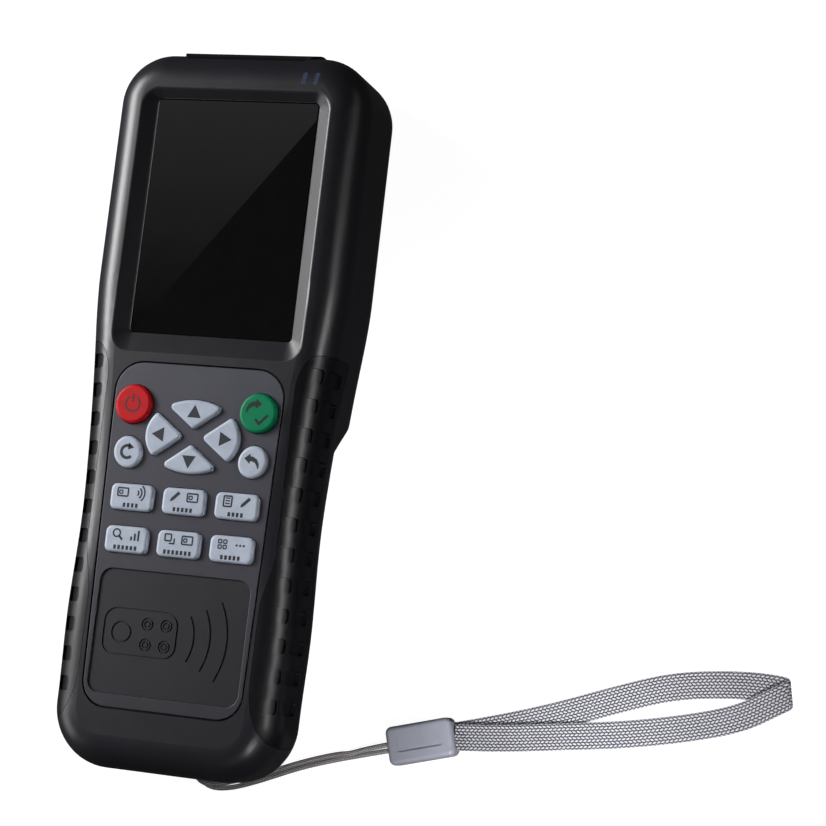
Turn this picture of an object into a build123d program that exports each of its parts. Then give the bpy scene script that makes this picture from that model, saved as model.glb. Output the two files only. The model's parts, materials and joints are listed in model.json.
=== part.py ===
"""Handheld microchip scanner with a wrist strap, lying on its back, as separate pieces.

Frame, in millimetres: +X is the scanner's right seen from its front, +Y points to its head,
+Z comes out of its face. z = 0 is the surface that it lies on, under the middle of the body.
"""

from build123d import *
from functools import partial
from math import cos, degrees, pi, radians, sin, tan
import os

os.makedirs("parts", exist_ok=True)

# ---- casing ----------------------------------------------------------------------------
FACE_Z = 34.0  # front face
HEAD_TOP = 99.4
HEAD_HALF = 37.4  # half the width of the head
HEAD_CORNER = 15.0
NECK_TOP = 36.0  # where the head's straight sides end
WAIST = [(35.8, 12.0), (33.7, -19.0), (33.3, -32.0), (33.9, -60.0)]  # right edge of the grip
TAIL_HALF = 33.4
TAIL_CORNER = 16.5
BOTTOM = -100.9
FRONT_ROUND = 9.0
BACK_ROUND = 8.5  # behind the head
GRIP_ROUND = 11.0  # behind the grip
GRIP_BACK = 6.2  # the grip is shallower than the head by this much
NECK_STEP = [(13.0, 0.0), (6.5, 1.0), (0.0, 6.0), (-5.0, 11.5), (-11.0, 17.5)]  # (y, z) behind the neck
WALL = 2.4
FAR = 120.0  # beyond the whole casing
PARTING = [  # (y, z) of the line between the two covers
    (FAR, 15.0), (86, 13.5), (64, 10), (50, 9.8), (36, 12.5), (17, 15.8), (0, 18),
    (-12, 19), (-28, 18.2), (-50, 15.8), (-80, 14), (-FAR, 15),
]

# ---- screen ----------------------------------------------------------------------------
GLASS_HALF = 24.0
GLASS_LOW, GLASS_HIGH = 18.6, 85.2
GLASS_TOP, GLASS_BOTTOM = 31.9, 30.4
BASIN_HALF, BASIN_LOW, BASIN_HIGH, BASIN_CORNER = 28.1, 12.8, 88.0, 5.5
BASIN_FLOOR = 31.9
WINDOW_MARGIN = 2.4  # ledge that carries the glass
FRAME_BOTTOM = 28.8  # underside of the thick wall round the screen

# ---- keypad ----------------------------------------------------------------------------
FASCIA_TOP_Y, FASCIA_LOW_Y = 10.0, -84.3
FASCIA_TOP_HALF, FASCIA_LOW_HALF = 24.9, 23.0
FASCIA_TOP_R, FASCIA_LOW_R = 8.0, 7.0
FASCIA_BOTTOM = 32.2
GROOVE = 0.45  # gap round the fascia
LEDGE_BOTTOM = 30.6
KEY_WINDOW_HALF, KEY_WINDOW_LOW, KEY_WINDOW_HIGH = 22.7, -45.5, 7.0
KEY_GAP = 0.22
KEY_TOP = 35.2
KEY_FLANGE = 0.55
FLANGE_LOW, FLANGE_HIGH = 31.2, 31.8
PLUNGER_LOW, PLUNGER_R = 30.55, 1.8
PAD_HALF, PAD_LOW, PAD_HIGH, PAD_CORNER = 22.0, -80.7, -47.0, 3.5
PAD_TOP, PAD_THICK = 33.5, 0.8
DPAD_Y, DPAD_A, DPAD_B = -9.6, 13.9, 10.15
DPAD_SLOPE = radians(36.4)
DPAD_APEX_Y, DPAD_APEX_X = 2.0, 2.54

# ---- grips -----------------------------------------------------------------------------
GRIP_SKIN = 1.5
GRIP_SEAM = 0.12
RECESS_DEPTH = 0.8
RECESS_COUNT = 12
RECESS_FIRST_Y, RECESS_PITCH, RECESS_HEIGHT = 9.8, 8.1, 4.0
RECESS_LEAN = 38.0  # degrees that the front recesses lean from the face to the side
RECESS_WIDTH = 5.3
SIDE_RECESS_LOW, SIDE_RECESS_HIGH = 20.4, 29.3

# ---- fastenings ------------------------------------------------------------------------
COVER_SCREWS = [(29.0, 87.5), (30.5, 15.0), (25.5, -88.0)]  # and their mirror images
POST_R = 3.4
DOOR_HALF, DOOR_LOW, DOOR_HIGH, DOOR_THICK = 20.0, -67.0, -13.0, 1.6
DOOR_SCREWS = [(-15.0, -63.4), (15.0, -63.4)]

# ---- boards and works ------------------------------------------------------------------
BOARD_LOW, BOARD_THICK, BOARD_HALF = 19.0, 1.2, 23.5
MAT_LOW, MAT_THICK = 28.95, 0.55
KEYBOARD_LOW, KEYBOARD_HIGH = 27.4, 28.6

# ---- wrist strap -----------------------------------------------------------------------
CORD_D = 1.5
PIN_Y, PIN_Z, PIN_R = -96.6, 10.4, 1.0
CLIP_X, CLIP_Y, CLIP_TURN = 64.9, -84.2, 15.8
CLIP_LONG, CLIP_WIDE, CLIP_HIGH = 18.8, 10.6, 6.4
STRAP_WIDE, STRAP_THICK = 7.4, 1.15
FAR_STRAND_Z, NEAR_STRAND_Z = 1.0, 2.3
CORD_ROUTE = [
    (56.08, -87.55, 1.8), (48.2, -89.9, 0.8), (41.0, -91.95, 0.8), (30.6, -95.3, 0.8),
    (20.6, -99.7, 0.8), (14.4, -102.1, 0.8), (9.6, -103.5, 0.9), (5.6, -103.9, 2.6),
    (3.4, -102.3, 5.4), (3.0, -99.2, 8.0), (3.0, -94.5, 8.5),
    (3.0, -94.5, 12.3), (3.2, -99.2, 12.4), (4.6, -102.3, 9.8), (7.2, -102.8, 5.8),
    (11.8, -101.1, 1.9), (18.8, -98.55, 0.8), (29.8, -93.75, 0.8), (40.6, -90.15, 0.8),
    (48.0, -88.05, 0.8), (55.55, -86.0, 1.8),
]
NEAR_ROUTE = [
    (73.95, -82.0), (86.0, -81.0), (102.4, -78.6), (118.5, -76.3),
    (134.3, -73.0), (149.7, -68.7), (161.6, -61.4),
]
FAR_ROUTE = [
    (73.95, -81.5), (86.0, -78.1), (101.5, -73.0), (116.5, -67.1),
    (131.5, -61.8), (147.0, -59.7), (161.6, -59.6),
]


def write(name, shape):
    """Writes one node's STEP file."""
    solids = shape.solids()
    export_step(solids[0] if len(solids) == 1 else Compound(children=solids), f"parts/{name}.step")


def plate(x0, x1, y0, y1, z0, z1, corner=0.0):
    """A plate with rounded upright edges."""
    outline = Rectangle(x1 - x0, y1 - y0)
    if corner:
        outline = RectangleRounded(x1 - x0, y1 - y0, corner)
    return extrude(Pos((x0 + x1) / 2, (y0 + y1) / 2, z0) * outline, z1 - z0)


def column(x, y, z0, z1, r):
    """An upright cylinder."""
    return extrude(Pos(x, y, z0) * Circle(r), z1 - z0)


def both_sides(shape):
    """A shape and its mirror image across the middle of the scanner."""
    return shape + mirror(shape, about=Plane.YZ)


# ---- the casing's outer form -----------------------------------------------------------
def side_curve(inset=0.0):
    """The right edge of the neck and grip, from the head down to the bottom corner."""
    points = [(x - inset, y) for x, y in WAIST]
    top = (HEAD_HALF - inset, NECK_TOP)
    end = (TAIL_HALF - inset, BOTTOM + TAIL_CORNER)
    return Spline(top, *points, end, tangents=[(0, -1), (0, -1)])


def plan(inset):
    """The casing's outline seen from the front, drawn in by inset."""
    head = (HEAD_HALF - HEAD_CORNER, HEAD_TOP - HEAD_CORNER)
    tail = (TAIL_HALF - TAIL_CORNER, BOTTOM + TAIL_CORNER)
    right = Curve() + [
        Line((0, HEAD_TOP - inset), (head[0], HEAD_TOP - inset)),
        CenterArc(head, HEAD_CORNER - inset, 90, -90),
        Line((HEAD_HALF - inset, head[1]), (HEAD_HALF - inset, NECK_TOP)),
        side_curve(inset),
        CenterArc(tail, TAIL_CORNER - inset, 0, -90),
        Line((tail[0], BOTTOM + inset), (0, BOTTOM + inset)),
    ]
    return make_face(right + mirror(right, about=Plane.YZ))


def block(inset, back, back_round):
    """The outline pulled up from back to the face, with both rims rounded."""
    form = extrude(Pos(0, 0, back + inset) * plan(inset), FACE_Z - back - 2 * inset).solids()[0]
    form = fillet(form.faces().sort_by(Axis.Z)[-1].edges(), FRONT_ROUND - inset)
    return fillet(form.faces().sort_by(Axis.Z)[0].edges(), back_round - inset)


def across(edges):
    """A closed outline in (y, z), pulled from side to side through the whole casing."""
    return extrude(Plane.YZ.offset(-FAR) * make_face(Curve() + edges), 2 * FAR)


def form(inset):
    """The casing's solid form, drawn in by inset: deep head, stepped neck, shallower grip."""
    step = [(y, z + inset) for y, z in NECK_STEP]
    start, end = (FAR, step[0][1]), step[-1]
    deep = across([
        Line(start, step[0]),
        Spline(*step, tangents=[(-1, 0), (-1, 1)]),
        Line(end, (end[0], FAR)),
        Line((end[0], FAR), (FAR, FAR)),
        Line((FAR, FAR), start),
    ])
    head = block(inset, 0, BACK_ROUND) & deep
    return (head + block(inset, GRIP_BACK, GRIP_ROUND)).solids()[0]


def half_width(y):
    """Half the grip's width at height y."""
    edge = side_curve()
    low, high = 0.0, 1.0
    for _ in range(30):
        middle = (low + high) / 2
        if edge.position_at(middle).Y > y:
            low = middle
        else:
            high = middle
    return edge.position_at(low).X


OUTER = form(0)
INNER = form(WALL)
UNDER_GRIP = form(GRIP_SKIN)
UNDER_RECESS = form(RECESS_DEPTH)
ABOVE_PARTING = across([
    Spline(*PARTING),
    Line(PARTING[-1], (-FAR, FAR)),
    Line((-FAR, FAR), (FAR, FAR)),
    Line((FAR, FAR), PARTING[0]),
])


# ---- grips -----------------------------------------------------------------------------
def grip_region(grow=0.0):
    """The right grip's area, seen from the front, pulled through the casing."""
    upper_x, lower_x = 27.7 - grow, 25.0 - grow
    top = (33.5, 15.4 + grow)
    low = (31.5 - 0.6 * grow, -89.6 - 0.8 * grow)
    outline = Curve() + [
        Line((50, 16.9 + grow), top),
        Spline(top, (29.2 - 0.7 * grow, 11.8 + 0.7 * grow), (upper_x, 5.0), tangents=[(-1, -0.1), (0, -1)]),
        Line((upper_x, 5.0), (upper_x, -38.0)),
        Spline((upper_x, -38.0), (lower_x, -56.0), tangents=[(0, -1), (0, -1)]),
        Line((lower_x, -56.0), (lower_x, -73.0)),
        Spline((lower_x, -73.0), (26.6 - grow, -83.0), low, tangents=[(0, -1), (1, -0.7)]),
        Line(low, (50, -102.0 - grow)),
        Line((50, -102.0 - grow), (50, 16.9 + grow)),
    ]
    return extrude(make_face(outline), FAR)


def recess_tools():
    """The right grip's finger recesses: one on the rounding and one on the side, at each step."""
    tools = []
    for i in range(RECESS_COUNT):
        y = RECESS_FIRST_Y - i * RECESS_PITCH
        edge = half_width(y)
        lean = Location((edge - FRONT_ROUND, y, FACE_Z - FRONT_ROUND), (0, RECESS_LEAN, 0))
        front = extrude(RectangleRounded(RECESS_WIDTH, RECESS_HEIGHT, 1.0), 2 * FRONT_ROUND)
        tools.append(lean * front)
        middle = (SIDE_RECESS_LOW + SIDE_RECESS_HIGH) / 2
        flat = RectangleRounded(SIDE_RECESS_HIGH - SIDE_RECESS_LOW, RECESS_HEIGHT, 1.0)
        tools.append(Location((edge - 3, y, middle), (0, 90, 0)) * extrude(flat, 10))
    return tools


def right_grip():
    """Rubber skin over the front rounding and the side, with its recesses."""
    skin = (OUTER & grip_region() & ABOVE_PARTING) - UNDER_GRIP
    skin = skin - [tool - UNDER_RECESS for tool in recess_tools()]
    return max(skin.solids(), key=lambda s: s.volume)


GRIP = right_grip()
write("right_grip", GRIP)
write("left_grip", mirror(GRIP, about=Plane.YZ))


# ---- antenna cap -----------------------------------------------------------------------
CAP_HALF, CAP_LOW, CAP_HIGH, CAP_CORNER = 20.5, 3.0, 32.5, 9.0
CAP_INNER_Y, CAP_TOP, CAP_ROUND = 97.95, 100.9, 11.5


def cap_prism(grow, start):
    """The cap's area seen from the head end, pulled outwards from y = start."""
    wide, high = 2 * (CAP_HALF + grow), CAP_HIGH - CAP_LOW + 2 * grow
    outline = Plane.XZ.offset(-start) * (
        Pos(0, (CAP_LOW + CAP_HIGH) / 2) * RectangleRounded(wide, high, CAP_CORNER)
    )
    return extrude(outline, -10)


def antenna_cap():
    """A plug that stands a little proud of the head's top end."""
    profile = Pos(CAP_TOP - 30, FACE_Z / 2) * RectangleRounded(60, FACE_Z, CAP_ROUND)
    wrap = extrude(Plane.YZ.offset(-FAR) * profile, 2 * FAR)
    return cap_prism(0, CAP_INNER_Y) & wrap


write("antenna_cap", antenna_cap())


# ---- keys ------------------------------------------------------------------------------
def dpad_key(turn, grow):
    """One sector of the oval direction pad, its apex at the middle. turn is 0 for up, then anticlockwise."""
    reach = 30.0
    if turn % 180:
        apex = (DPAD_APEX_X - grow / sin(DPAD_SLOPE), 0)
        sides = [(apex[0] + reach, side * reach * tan(DPAD_SLOPE)) for side in (-1, 1)]
    else:
        apex = (0, DPAD_APEX_Y - grow / cos(DPAD_SLOPE))
        sides = [(side * reach, apex[1] + reach * tan(DPAD_SLOPE)) for side in (1, -1)]
    wedge = make_face(Polyline(apex, *sides, close=True))
    sector = Ellipse(DPAD_A + grow, DPAD_B + grow) & wedge
    sector = fillet(sector.vertices(), 1.15 + grow)
    half_turn = 180 if turn in (90, 180) else 0
    return Pos(0, DPAD_Y) * Rot(0, 0, half_turn) * sector


def round_key(x, y, grow):
    return Pos(x, y) * Circle(5.4 + grow)


def oval_key(x, y, turn, grow):
    return Pos(x, y) * Rot(0, 0, turn) * Ellipse(4.5 + grow, 4.15 + grow)


def function_key(x, y, grow):
    return Pos(x, y) * RectangleRounded(12.7 + 2 * grow, 7.3 + 2 * grow, 1.8 + grow)


FUNCTION_X, FUNCTION_Y = (-15.41, 0.0, 15.41), (-27.4, -39.0)
KEYS = {  # name: (outline for a given growth, middle, height of its top)
    "key_power": (partial(round_key, -18.4, -1.8), (-18.4, -1.8), KEY_TOP + 0.3),
    "key_ok": (partial(round_key, 18.4, -1.8), (18.4, -1.8), KEY_TOP + 0.3),
    "key_clear": (partial(oval_key, -18.35, -15.1, 115), (-18.35, -15.1), KEY_TOP),
    "key_return": (partial(oval_key, 18.35, -15.1, 65), (18.35, -15.1), KEY_TOP),
    "key_up": (partial(dpad_key, 0), (0, DPAD_Y + 6.2), KEY_TOP),
    "key_left": (partial(dpad_key, 90), (-8.6, DPAD_Y), KEY_TOP),
    "key_down": (partial(dpad_key, 180), (0, DPAD_Y - 6.2), KEY_TOP),
    "key_right": (partial(dpad_key, 270), (8.6, DPAD_Y), KEY_TOP),
}
for row, row_y in enumerate(FUNCTION_Y):
    for place, key_x in enumerate(FUNCTION_X):
        KEYS[f"key_function_{3 * row + place + 1}"] = (
            partial(function_key, key_x, row_y), (key_x, row_y), KEY_TOP,
        )


def key(outline, middle, top):
    """A cap with a soft rim, a flange that stops under the fascia and a plunger."""
    cap = extrude(Pos(0, 0, FLANGE_LOW) * outline(0), top - FLANGE_LOW)
    cap = fillet(cap.faces().sort_by(Axis.Z)[-1].edges(), 0.9)
    flange = extrude(Pos(0, 0, FLANGE_LOW) * outline(KEY_FLANGE), FLANGE_HIGH - FLANGE_LOW)
    plunger = column(*middle, PLUNGER_LOW, FLANGE_LOW, PLUNGER_R)
    return cap + flange + plunger


for name, (outline, middle, top) in KEYS.items():
    write(name, key(outline, middle, top))


# ---- fascia and reader pad -------------------------------------------------------------
def fascia_outline(grow=0.0):
    """The keypad panel, a little narrower at the bottom."""
    face = make_face(Polyline(
        (-FASCIA_TOP_HALF, FASCIA_TOP_Y), (FASCIA_TOP_HALF, FASCIA_TOP_Y),
        (FASCIA_LOW_HALF, FASCIA_LOW_Y), (-FASCIA_LOW_HALF, FASCIA_LOW_Y), close=True,
    ))
    face = fillet([v for v in face.vertices() if v.Y > 0], FASCIA_TOP_R)
    face = fillet([v for v in face.vertices() if v.Y < FASCIA_LOW_Y + 0.1], FASCIA_LOW_R)
    return offset(face, grow) if grow else face


def rim_edges(shape, z):
    """The edges that lie at one height."""
    return [e for e in shape.edges() if abs(e.center().Z - z) < 0.01]


def keypad_fascia():
    """The panel with a hole for each key and the sunk place of the reader pad."""
    panel = extrude(Pos(0, 0, FASCIA_BOTTOM) * fascia_outline(), FACE_Z - FASCIA_BOTTOM)
    floor = PAD_TOP - PAD_THICK
    panel = panel - plate(-PAD_HALF, PAD_HALF, PAD_LOW, PAD_HIGH, floor, FACE_Z + 1, PAD_CORNER)
    panel = fillet(rim_edges(panel, FACE_Z), 0.22)
    for outline, _, _ in KEYS.values():
        panel = panel - extrude(Pos(0, 0, FASCIA_BOTTOM - 1) * outline(KEY_GAP), 5)
    return panel


def ring(x, y, r, wide):
    """A flat ring, as a face."""
    return Pos(x, y) * (Circle(r + wide / 2) - Circle(r - wide / 2))


def arc_groove(x, y, r, half_height, wide):
    """A flat curved bar that bulges to the right, with round ends."""
    swing = degrees(half_height / r)
    line = CenterArc((x, y), r, -swing, 2 * swing)
    ends = [Pos(p.X, p.Y) * Circle(wide / 2) for p in (line @ 0, line @ 1)]
    band = Pos(x, y) * (Circle(r + wide / 2) - Circle(r - wide / 2))
    reach = 2 * r
    wedge = Pos(x, y) * make_face(Polyline(
        (0, 0), (reach, -reach * tan(radians(swing))), (reach, reach * tan(radians(swing))),
        close=True,
    ))
    return (band & wedge) + ends


def reader_pad():
    """The pad over the card antenna, with a tag and three waves cut into it."""
    wide = 0.5
    bottom = PAD_TOP - PAD_THICK
    play = 0.05
    pad = plate(-PAD_HALF + play, PAD_HALF - play, PAD_LOW + play, PAD_HIGH - play,
                bottom, PAD_TOP, PAD_CORNER - play)
    tag = Pos(-8.5, -63.8) * (
        RectangleRounded(21.4 + wide, 12.4 + wide, 3.7) - RectangleRounded(21.4 - wide, 12.4 - wide, 3.2)
    )
    figure = [tag, ring(-14.0, -63.9, 2.76, wide)]
    for x in (-6.6, -1.05):
        for y in (-61.15, -66.75):
            figure.append(ring(x, y, 1.55, 0.4))
            figure.append(ring(x, y, 0.8, 0.3))
    for r, half_height in ((12.8, 6.15), (17.5, 8.3), (22.4, 10.9)):
        figure.append(arc_groove(-5.5, -63.9, r, half_height, wide))
    for face in figure:
        pad = pad - extrude(Pos(0, 0, PAD_TOP - 0.3) * face, 1)
    return pad


write("keypad_fascia", keypad_fascia())
write("reader_pad", reader_pad())


# ---- front cover -----------------------------------------------------------------------
SHELL = OUTER - INNER
LIGHTS = [(19.5, 91.7), (23.05, 91.7)]


def posts():
    """The screw posts, from the back cover up to the face."""
    shapes = [column(x, y, 0, FACE_Z - WALL + 0.5, POST_R) for x, y in COVER_SCREWS]
    return both_sides(shapes[0] + shapes[1:]) & OUTER


def light_slot(x, y, grow):
    """A slightly leaning slot, as a face."""
    return Pos(x, y) * Rot(0, 0, 82) * SlotOverall(3.7 + 2 * grow, 1.35 + 2 * grow)


def basin():
    """The sloping recess round the glass."""
    middle = (BASIN_LOW + BASIN_HIGH) / 2
    mouth = Pos(0, middle, FACE_Z) * RectangleRounded(2 * BASIN_HALF, BASIN_HIGH - BASIN_LOW, BASIN_CORNER)
    edge = 0.3
    foot = Pos(0, (GLASS_LOW + GLASS_HIGH) / 2, BASIN_FLOOR) * RectangleRounded(
        2 * (GLASS_HALF + edge), GLASS_HIGH - GLASS_LOW + 2 * edge, 1.6)
    above = Pos(0, middle, FACE_Z + 2) * RectangleRounded(
        2 * BASIN_HALF, BASIN_HIGH - BASIN_LOW, BASIN_CORNER)
    return loft([foot, mouth]) + loft([mouth, above])


def front_cover():
    cover = (SHELL & ABOVE_PARTING) + (posts() & ABOVE_PARTING)
    cover = cover + (plate(-31, 31, 11.4, 91, FRAME_BOTTOM, 32.4, 6) & OUTER)
    cover = cover + (plate(-27, 27, -88, 11.6, LEDGE_BOTTOM, 32.4) & OUTER)
    cover = cover - basin()
    rims = [
        e for e in cover.edges()
        if abs(e.center().Z - FACE_Z) < 0.01 and abs(e.center().X) < BASIN_HALF + 0.1
        and BASIN_LOW - 0.1 < e.center().Y < BASIN_HIGH + 0.1
    ]
    cover = fillet(rims, 1.2)
    play = 0.2
    cover = cover - plate(-GLASS_HALF - play, GLASS_HALF + play, GLASS_LOW - play, GLASS_HIGH + play,
                          GLASS_BOTTOM, FACE_Z + 1, 1.2)
    cover = cover - plate(-GLASS_HALF + WINDOW_MARGIN, GLASS_HALF - WINDOW_MARGIN,
                          GLASS_LOW + WINDOW_MARGIN, GLASS_HIGH - WINDOW_MARGIN, 20, FACE_Z, 1)
    cover = cover - extrude(Pos(0, 0, FASCIA_BOTTOM) * fascia_outline(GROOVE), 5)
    cover = cover - plate(-KEY_WINDOW_HALF, KEY_WINDOW_HALF, KEY_WINDOW_LOW, KEY_WINDOW_HIGH, 20, FACE_Z, 3)
    for x, y, r in ((18.4, -1.8, 6.45), (18.35, -15.1, 5.5)):
        cover = cover - both_sides(column(x, y, 20, FACE_Z, r))
    cover = cover - both_sides(grip_region(GRIP_SEAM) - UNDER_GRIP)
    cover = cover - cap_prism(0.06, CAP_INNER_Y - 0.05)
    for x, y in LIGHTS:
        cover = cover - extrude(Pos(0, 0, 20) * light_slot(x, y, 0.06), 20)
    for x, y in COVER_SCREWS:
        cover = cover - both_sides(column(x, y, 0, 27, 1.15))
    port = Plane.XZ.offset(-BOTTOM - 10) * (Pos(-14, 21.9) * SlotOverall(10.2, 4.4))
    return max((cover - extrude(port, 20)).solids(), key=lambda s: s.volume)


# ---- rear cover, battery door and feet -------------------------------------------------
HEEL_LOW, HEEL_HIGH, HEEL_HALF, FOOT_THICK = -84.5, -71.5, 28.6, 1.2
SLOT_X0, SLOT_X1, SLOT_END = -1.2, 7.6, -93.2


def heel():
    """The ridge behind the grip that keeps the scanner level."""
    ridge = plate(-HEEL_HALF, HEEL_HALF, HEEL_LOW, HEEL_HIGH, FOOT_THICK, 9, 4).solids()[0]
    return fillet(ridge.faces().sort_by(Axis.Z)[0].edges(), 2.2)


def rear_cover():
    cover = (SHELL - ABOVE_PARTING) + (posts() - ABOVE_PARTING) + (heel() - INNER)
    cover = cover + (plate(SLOT_X0 - 2, SLOT_X1 + 2, -98.6, SLOT_END + 2.4, 8.3, 14.2) & OUTER)
    for x, y in DOOR_SCREWS:
        cover = cover + column(x, y, 8.2, 14, 2.6)
    cover = cover - plate(-DOOR_HALF - 0.15, DOOR_HALF + 0.15, DOOR_LOW - 0.15, DOOR_HIGH + 0.15,
                          0, GRIP_BACK + DOOR_THICK + 0.05, 4.15)
    cover = cover - plate(-17.6, 17.6, -60, -16.5, 0, 12, 2)
    for x, y in DOOR_SCREWS:
        cover = cover - column(x, y, 0, 13, 0.95)
    for x, y in COVER_SCREWS:
        back = 0 if y > 0 else GRIP_BACK
        cover = cover - both_sides(column(x, y, 0, 20, 1.4) + column(x, y, -1, back + 3.4, 2.9))
    cover = cover - plate(SLOT_X0, SLOT_X1, -FAR, SLOT_END, 0, 13.5)
    pin = Plane.YZ.offset(SLOT_X0 - 1.6) * (Pos(PIN_Y, PIN_Z) * Circle(PIN_R))
    cover = cover - extrude(pin, SLOT_X1 - SLOT_X0 + 3.2)
    return max((cover - cap_prism(0.06, CAP_INNER_Y - 0.05)).solids(), key=lambda s: s.volume)


def battery_door():
    door = plate(-DOOR_HALF, DOOR_HALF, DOOR_LOW, DOOR_HIGH, GRIP_BACK, GRIP_BACK + DOOR_THICK, 4)
    door = fillet(door.faces().sort_by(Axis.Z)[0].edges(), 0.35)
    for i in range(5):
        y = DOOR_HIGH - 8 - 2.4 * i
        half = 9 - 1.2 * i
        door = door - plate(-half, half, y - 0.6, y + 0.6, 0, GRIP_BACK + 0.5, 0.59)
    for x, y in DOOR_SCREWS:
        cone = Solid.make_cone(2.3, 1.2, 1.1, Plane((x, y, GRIP_BACK)))
        door = door - column(x, y, 0, 12, 1.2) - cone
    return door


def lanyard_pin():
    pin = Plane.YZ.offset(SLOT_X0 - 1.6) * (Pos(PIN_Y, PIN_Z) * Circle(PIN_R))
    return extrude(pin, SLOT_X1 - SLOT_X0 + 3.2)


def rear_feet():
    foot = plate(12, 26, -82.2, -73.8, 0, FOOT_THICK, 3).solids()[0]
    return both_sides(fillet(foot.faces().sort_by(Axis.Z)[0].edges(), 0.4))


write("front_cover", front_cover())
write("rear_cover", rear_cover())
write("battery_door", battery_door())
write("lanyard_pin", lanyard_pin())
write("rear_feet", rear_feet())


# ---- screws ----------------------------------------------------------------------------
def pan_screw(x, y, head_z, length, r, head_r):
    """A pan-head screw standing upside down, its cross recess facing the back."""
    head = column(x, y, head_z, head_z + 1.5, head_r).solids()[0]
    head = fillet(head.faces().sort_by(Axis.Z)[0].edges(), 0.5)
    shank = column(x, y, head_z + 1.5, head_z + length, r)
    slots = plate(x - 1.3, x + 1.3, y - 0.3, y + 0.3, head_z - 1, head_z + 0.8)
    slots = slots + plate(x - 0.3, x + 0.3, y - 1.3, y + 1.3, head_z - 1, head_z + 0.8)
    return head + shank - slots


def flat_screw(x, y):
    """A small countersunk screw in the battery door."""
    head = Solid.make_cone(2.1, 0.9, 1.0, Plane((x, y, GRIP_BACK + 0.15)))
    shank = column(x, y, GRIP_BACK + 1.1, 12.5, 0.85)
    slots = plate(x - 1.1, x + 1.1, y - 0.22, y + 0.22, 0, GRIP_BACK + 0.6)
    slots = slots + plate(x - 0.22, x + 0.22, y - 1.1, y + 1.1, 0, GRIP_BACK + 0.6)
    return head + shank - slots


def cover_screws():
    screws = []
    for x, y in COVER_SCREWS:
        head_z = 1.9 if y > 0 else GRIP_BACK + 1.9
        for side in (-1, 1):
            screws += pan_screw(side * x, y, head_z, 26 - head_z, 1.1, 2.6).solids()
    return Compound(children=screws)


write("cover_screws", cover_screws())
write("door_screws", Compound(children=[s for p in DOOR_SCREWS for s in flat_screw(*p).solids()]))


# ---- screen and keypad works -----------------------------------------------------------
def screen_lens():
    lens = plate(-GLASS_HALF, GLASS_HALF, GLASS_LOW, GLASS_HIGH, GLASS_BOTTOM, GLASS_TOP, 1.0)
    return fillet(lens.faces().sort_by(Axis.Z)[-1].edges(), 0.2)


def lcd_module():
    body = plate(-25.2, 25.2, 15.6, 87.4, 25.0, 28.6, 0.6)
    return body - plate(-21.0, 21.0, 21.5, 82.3, 28.3, 29, 0.3)


def light_pipes():
    pipes = [extrude(Pos(0, 0, 24) * light_slot(x, y, 0), 12) & OUTER for x, y in LIGHTS]
    return Compound(children=[s for p in pipes for s in p.solids()])


def key_mat():
    mat = plate(-22.4, 22.4, -45.2, 6.8, MAT_LOW, MAT_LOW + MAT_THICK, 2.5)
    for _, middle, _ in KEYS.values():
        mat = mat + column(*middle, MAT_LOW + MAT_THICK, MAT_LOW + MAT_THICK + 0.25, 1.5)
    return mat


def dome_switches():
    domes = []
    for _, (x, y), _ in KEYS.values():
        domes += Solid.make_cone(2.4, 1.4, 0.3, Plane((x, y, KEYBOARD_HIGH))).solids()
    return Compound(children=domes)


def main_board():
    top = BOARD_LOW + BOARD_THICK
    board = plate(-BOARD_HALF, BOARD_HALF, -83, 90, BOARD_LOW, top, 2)
    return board + plate(-19.5, 19.5, -96.5, -82, BOARD_LOW, top, 1)


def usb_socket():
    """A thin metal sleeve round a tongue, open at the bottom end of the scanner."""
    low = BOARD_LOW + BOARD_THICK + 0.05
    middle_z = low + 1.65

    def bar(long, high, y0, y1):
        return extrude(Plane.XZ.offset(-y0) * (Pos(-14, middle_z) * SlotOverall(long, high)), y0 - y1)

    sleeve = bar(9.0, 3.3, -99.6, -91.6) - bar(8.4, 2.7, -100, -92.6)
    return sleeve + bar(6.6, 0.7, -98.6, -92.0)


def coil(half, low, high, z0, z1, wide, corner):
    """A flat rectangular coil with rounded corners."""
    outer = plate(-half, half, low, high, z0, z1, corner)
    return outer - plate(-half + wide, half - wide, low + wide, high - wide, z0 - 1, z1 + 1,
                         max(corner - wide, 0.5))


BOARD_TOP = BOARD_LOW + BOARD_THICK
write("screen_lens", screen_lens())
write("lcd_module", lcd_module())
write("light_pipes", light_pipes())
write("key_mat", key_mat())
write("dome_switches", dome_switches())
write("keypad_board", plate(-22.4, 22.4, -45.2, 6.8, KEYBOARD_LOW, KEYBOARD_HIGH, 2))
write("main_board", main_board())
write("processor", plate(1, 14, -8, 5, BOARD_TOP, BOARD_TOP + 1.2, 0.3))
write("reader_shield", plate(-11, 11, -77, -53, BOARD_TOP, BOARD_TOP + 2.6, 0.8))
write("card_antenna", coil(19.5, -79.5, -49.5, 29.4, 30.4, 3.2, 4))
write("chip_antenna", coil(24.5, 24, 84, 2.8, 6.8, 4.0, 8))
write("battery", plate(-17, 17, -59.6, -17, 8.2, 17.4, 2.5))
write("buzzer", column(12, -75, 14.4, BOARD_LOW, 5.0) - column(12, -75, 14, 15, 1.0))
write("usb_socket", usb_socket())


# ---- wrist strap -----------------------------------------------------------------------
def bend_radii(points):
    """For each corner, 0.45 of its shorter run over the tangent of half its turn."""
    spots = [Vector(*p) for p in points]
    radii = []
    for before, here, after in zip(spots, spots[1:], spots[2:]):
        turn = (here - before).get_angle(after - here)
        run = min((here - before).length, (after - here).length)
        radii.append(0.45 * run / tan(radians(turn / 2)))
    return radii


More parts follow.
